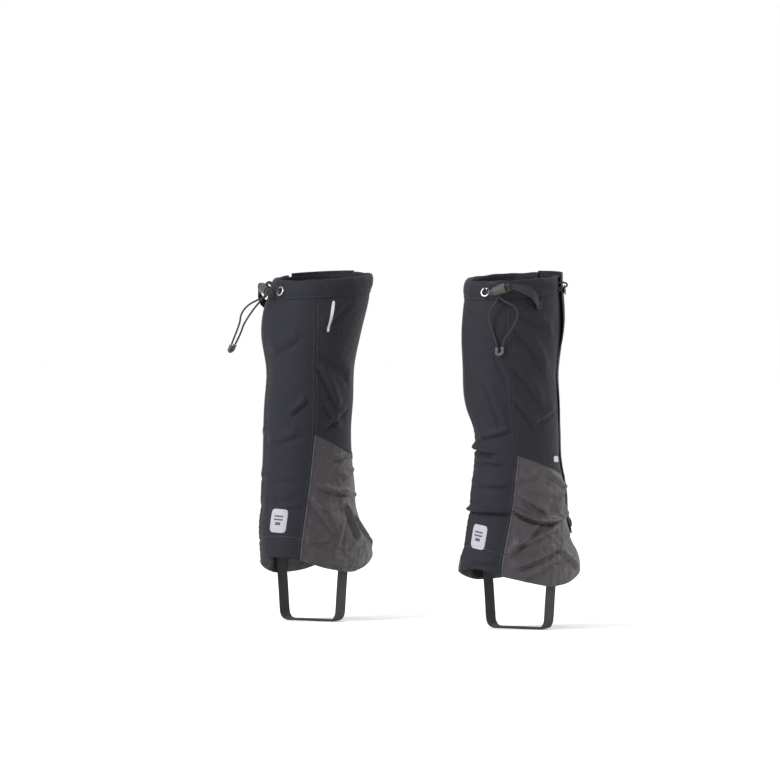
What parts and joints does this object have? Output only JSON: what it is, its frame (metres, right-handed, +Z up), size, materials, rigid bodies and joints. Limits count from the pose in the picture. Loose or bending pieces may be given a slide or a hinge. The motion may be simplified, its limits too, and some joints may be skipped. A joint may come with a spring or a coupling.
{
  "type": "hiking gaiters",
  "caption": "Pair of knee-height hiking gaiters: panelled cloth shells with a front flap, drawcord top, lace hooks and instep straps.",
  "frame": {"origin": "midway between the two gaiters, on the underside of the instep straps, where the wearer stands", "axes": "+Z up, -Y towards the toes, +X towards the left leg's outer side"},
  "size_m": [0.4188, 0.1977, 0.42],
  "materials": {
    "rear_cloth": "matt plain-woven nylon, dark navy",
    "upper_cloth": "matt coated nylon, near black",
    "ripstop": "ripstop nylon, charcoal grey",
    "binding": "folded tunnel cloth, near black",
    "webbing": "ribbed webbing, black",
    "strap_webbing": "woven webbing, dark grey",
    "elastic": "woven elastic, black",
    "closure_tape": "hook and loop tape, black",
    "cord": "braided cord, dark grey",
    "label": "pale printed woven label",
    "lock_plastic": "moulded, dark olive grey",
    "clip_plastic": "moulded, mid grey",
    "eyelet_metal": "nickel-plated pressed steel",
    "hook_metal": "black-coated steel",
    "spring_steel": "drawn wire"
  },
  "bodies": {
    "shells": {"left_rear_panel": "rear_cloth", "left_outer_upper_panel": "upper_cloth", "left_inner_upper_panel": "upper_cloth", "left_outer_lower_panel": "ripstop", "left_inner_lower_panel": "ripstop", "left_top_hem": "binding", "left_drawcord_inner_run": "cord", "left_drawcord_outer_run": "cord", "left_drawcord_eyelet": "eyelet_metal", "left_cord_lock_barrel": "lock_plastic", "left_cord_lock_spring": "spring_steel", "left_tether_tab": "webbing", "left_loop_strip": "closure_tape", "left_top_snap_stud": "eyelet_metal", "left_bottom_snap_stud": "eyelet_metal", "left_lace_hook_tab": "webbing", "left_outer_strap_anchor": "webbing", "left_inner_strap_anchor": "webbing", "left_ankle_elastic": "elastic", "left_heel_label": "label", "right_rear_panel": "rear_cloth", "right_outer_upper_panel": "upper_cloth", "right_inner_upper_panel": "upper_cloth", "right_outer_lower_panel": "ripstop", "right_inner_lower_panel": "ripstop", "right_top_hem": "binding", "right_drawcord_inner_run": "cord", "right_drawcord_outer_run": "cord", "right_drawcord_eyelet": "eyelet_metal", "right_cord_lock_barrel": "lock_plastic", "right_cord_lock_spring": "spring_steel", "right_tether_tab": "webbing", "right_loop_strip": "closure_tape", "right_top_snap_stud": "eyelet_metal", "right_bottom_snap_stud": "eyelet_metal", "right_lace_hook_tab": "webbing", "right_outer_strap_anchor": "webbing", "right_inner_strap_anchor": "webbing", "right_ankle_elastic": "elastic", "right_heel_label": "label"},
    "left_flap": {"left_front_flap": "upper_cloth", "left_hook_strip": "closure_tape", "left_top_snap_cap": "lock_plastic", "left_bottom_snap_cap": "lock_plastic"},
    "left_plunger": {"left_cord_lock_plunger": "lock_plastic"},
    "left_cord_pull": {"left_cord_end_a": "cord", "left_cord_end_b": "cord", "left_cord_clip": "clip_plastic"},
    "left_lace_hook": {"left_lace_hook": "hook_metal"},
    "left_strap": {"left_instep_strap": "strap_webbing"},
    "right_flap": {"right_front_flap": "upper_cloth", "right_hook_strip": "closure_tape", "right_top_snap_cap": "lock_plastic", "right_bottom_snap_cap": "lock_plastic"},
    "right_plunger": {"right_cord_lock_plunger": "lock_plastic"},
    "right_cord_pull": {"right_cord_end_a": "cord", "right_cord_end_b": "cord", "right_cord_clip": "clip_plastic"},
    "right_lace_hook": {"right_lace_hook": "hook_metal"},
    "right_strap": {"right_instep_strap": "strap_webbing"}
  },
  "joints": [
    {"name": "left_flap_hinge", "type": "hinge", "parent": "shells", "child": "left_flap", "pos_m": [0.142, -0.08, 0.26], "axis": [0, 0, -1], "range_deg": [0, 110]},
    {"name": "left_plunger_press", "type": "slide", "parent": "shells", "child": "left_plunger", "axis": [0.8658, -0.4061, 0.2924], "range_m": [0, 0.0026], "stiffness_N_per_m": 400, "deforming": ["left_cord_lock_spring"]},
    {"name": "left_cord_swing", "type": "hinge", "parent": "shells", "child": "left_cord_pull", "pos_m": [0.16777, 0.06304, 0.39152], "axis": [0.9053, -0.4247, 0], "range_deg": [-30, 10]},
    {"name": "left_lace_hook_swing", "type": "hinge", "parent": "shells", "child": "left_lace_hook", "pos_m": [0.15, -0.10505, 0.0875], "axis": [1, 0, 0], "range_deg": [-95, 12]},
    {"name": "left_strap_swing", "type": "hinge", "parent": "shells", "child": "left_strap", "pos_m": [0.15, -0.008, 0.062], "axis": [1, 0, 0], "range_deg": [-30, 30]},
    {"name": "right_flap_hinge", "type": "hinge", "parent": "shells", "child": "right_flap", "pos_m": [-0.142, -0.08, 0.26], "axis": [0, 0, 1], "range_deg": [0, 110]},
    {"name": "right_plunger_press", "type": "slide", "parent": "shells", "child": "right_plunger", "axis": [-0.8658, -0.4061, 0.2924], "range_m": [0, 0.0026], "stiffness_N_per_m": 400, "deforming": ["right_cord_lock_spring"]},
    {"name": "right_cord_swing", "type": "hinge", "parent": "shells", "child": "right_cord_pull", "pos_m": [-0.16777, 0.06304, 0.39152], "axis": [0.9053, 0.4247, 0], "range_deg": [0, 35]},
    {"name": "right_lace_hook_swing", "type": "hinge", "parent": "shells", "child": "right_lace_hook", "pos_m": [-0.15, -0.10505, 0.0875], "axis": [1, 0, 0], "range_deg": [-95, 12]},
    {"name": "right_strap_swing", "type": "hinge", "parent": "shells", "child": "right_strap", "pos_m": [-0.15, -0.008, 0.062], "axis": [1, 0, 0], "range_deg": [-30, 30]}
  ]
}
